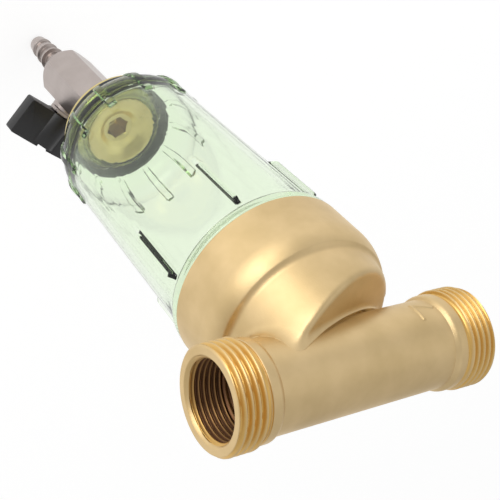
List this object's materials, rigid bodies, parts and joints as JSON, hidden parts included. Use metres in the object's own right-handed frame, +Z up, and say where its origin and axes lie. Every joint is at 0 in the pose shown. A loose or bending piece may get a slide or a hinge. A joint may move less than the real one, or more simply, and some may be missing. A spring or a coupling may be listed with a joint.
{
  "type": "spin-down sediment filter",
  "caption": "Spin-down sediment filter with a cast brass tee head, a clear ribbed bowl, and a drain ball valve with a hose tail.",
  "frame": {"origin": "where the pipe's axis crosses the bowl's axis, in the middle of the head", "axes": "+X along the pipe towards the near port, +Z up along the bowl's axis, +Y to the side away from the camera"},
  "size_m": [0.0972, 0.0668, 0.2532],
  "materials": {
    "cast_brass": "satin sand-cast brass with machined threads",
    "machined_brass": "turned brass",
    "clear_plastic": "clear moulded plastic with a faint green tint",
    "black_rubber": "matt black rubber",
    "plated_steel": "satin nickel plating",
    "screen_steel": "stainless mesh and cage",
    "white_plastic": "white sealing plastic",
    "black_plastic": "fine-grained black plastic",
    "zinc_steel": "bright zinc plating"
  },
  "bodies": {
    "head": {"head_casting": "cast_brass"},
    "bowl_lift": {"bowl_seal": "black_rubber"},
    "bowl_turn": {"bowl": "clear_plastic", "inner_drain_nut": "machined_brass", "inner_gasket": "black_rubber", "outer_gasket": "black_rubber", "outer_flange_ring": "machined_brass", "valve_washer": "black_rubber", "valve_body": "plated_steel", "upper_ball_seat": "white_plastic", "lower_ball_seat": "white_plastic", "gland_nut": "plated_steel", "hose_tail": "plated_steel"},
    "screen": {"screen_top_ring": "white_plastic", "screen_seal": "black_rubber", "screen_cage": "screen_steel", "screen_mesh": "screen_steel", "screen_end_cap": "white_plastic"},
    "valve_plug": {"valve_ball": "plated_steel", "valve_stem": "machined_brass", "stem_seals": "black_rubber", "valve_handle": "black_plastic", "handle_washer": "zinc_steel", "handle_screw": "zinc_steel"}
  },
  "joints": [
    {"name": "bowl_descent", "type": "slide", "parent": "head", "child": "bowl_lift", "axis": [0, 0, -1], "range_m": [0, 0.0151]},
    {"name": "bowl_unscrew", "type": "hinge", "parent": "bowl_lift", "child": "bowl_turn", "pos_m": [0, 0, -0.1], "axis": [0, 0, -1], "range_deg": [0, 1800]},
    {"name": "screen_pull", "type": "slide", "parent": "head", "child": "screen", "axis": [0, 0, -1], "range_m": [0, 0.02]},
    {"name": "drain_lever", "type": "hinge", "parent": "bowl_turn", "child": "valve_plug", "pos_m": [0, 0, -0.1905], "axis": [0.5519, 0.8339, 0], "range_deg": [0, 90]}
  ],
  "couplings": [
    {"joint": "bowl_descent", "follows": "bowl_unscrew", "m_per_rad": 0.00047746}
  ]
}
